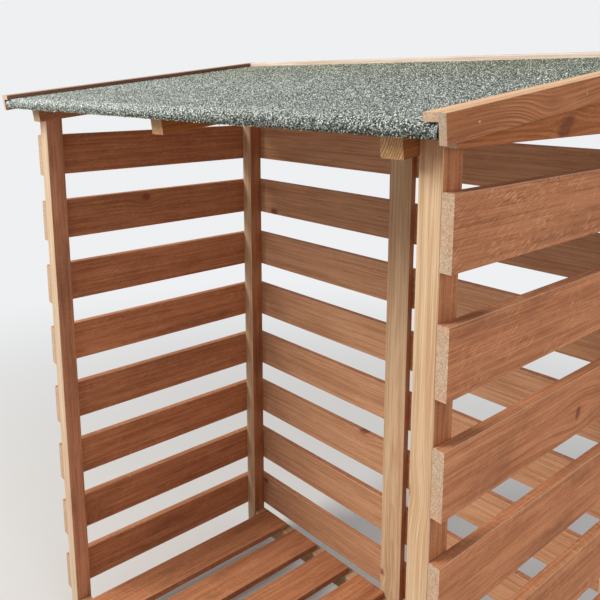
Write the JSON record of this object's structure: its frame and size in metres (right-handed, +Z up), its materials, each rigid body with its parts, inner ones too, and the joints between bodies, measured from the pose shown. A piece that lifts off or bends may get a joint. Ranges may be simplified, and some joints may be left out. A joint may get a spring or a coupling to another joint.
{
  "type": "log store",
  "caption": "Open-fronted timber log store with slatted sides, back and floor under a lean-to roof that falls to the front and is covered in mineral felt.",
  "frame": {"origin": "on the ground, at the centre of the roof's plan", "axes": "+X to the right along the front, seen from the front; +Y to the back wall; +Z up"},
  "size_m": [1.14, 0.6572, 1.3651],
  "materials": {
    "frame_timber": "planed pine, brown impregnated, weathered",
    "board_timber": "planed pine boards, brown impregnated, red-brown faces and paler end grain",
    "deck_timber": "tongued and grooved pine, brown impregnated",
    "trim_timber": "thin planed pine, brown impregnated",
    "felt": "bitumen sheet with green-grey mineral granules"
  },
  "bodies": {
    "root": {"back_batten": "frame_timber", "back_boards": "board_timber", "back_rail": "board_timber", "barge_batten_left": "trim_timber", "barge_batten_right": "trim_timber", "barge_board_left": "trim_timber", "barge_board_right": "trim_timber", "deck_board_1": "deck_timber", "deck_board_2": "deck_timber", "deck_board_3": "deck_timber", "deck_board_4": "deck_timber", "deck_board_5": "deck_timber", "floor_beam_front": "frame_timber", "floor_beam_rear": "frame_timber", "floor_slats": "board_timber", "post_front_left": "frame_timber", "post_front_right": "frame_timber", "post_rear_left": "frame_timber", "post_rear_right": "frame_timber", "rear_batten": "trim_timber", "roof_bearer_left": "frame_timber", "roof_bearer_middle": "frame_timber", "roof_bearer_right": "frame_timber", "roof_felt": "felt", "side_board_left_1": "board_timber", "side_board_left_2": "board_timber", "side_board_left_3": "board_timber", "side_board_left_4": "board_timber", "side_board_left_5": "board_timber", "side_board_left_6": "board_timber", "side_board_left_7": "board_timber", "side_board_left_8": "board_timber", "side_board_right_1": "board_timber", "side_board_right_2": "board_timber", "side_board_right_3": "board_timber", "side_board_right_4": "board_timber", "side_board_right_5": "board_timber", "side_board_right_6": "board_timber", "side_board_right_7": "board_timber", "side_board_right_8": "board_timber", "side_rail_left": "board_timber", "side_rail_right": "board_timber"}
  },
  "joints": []
}
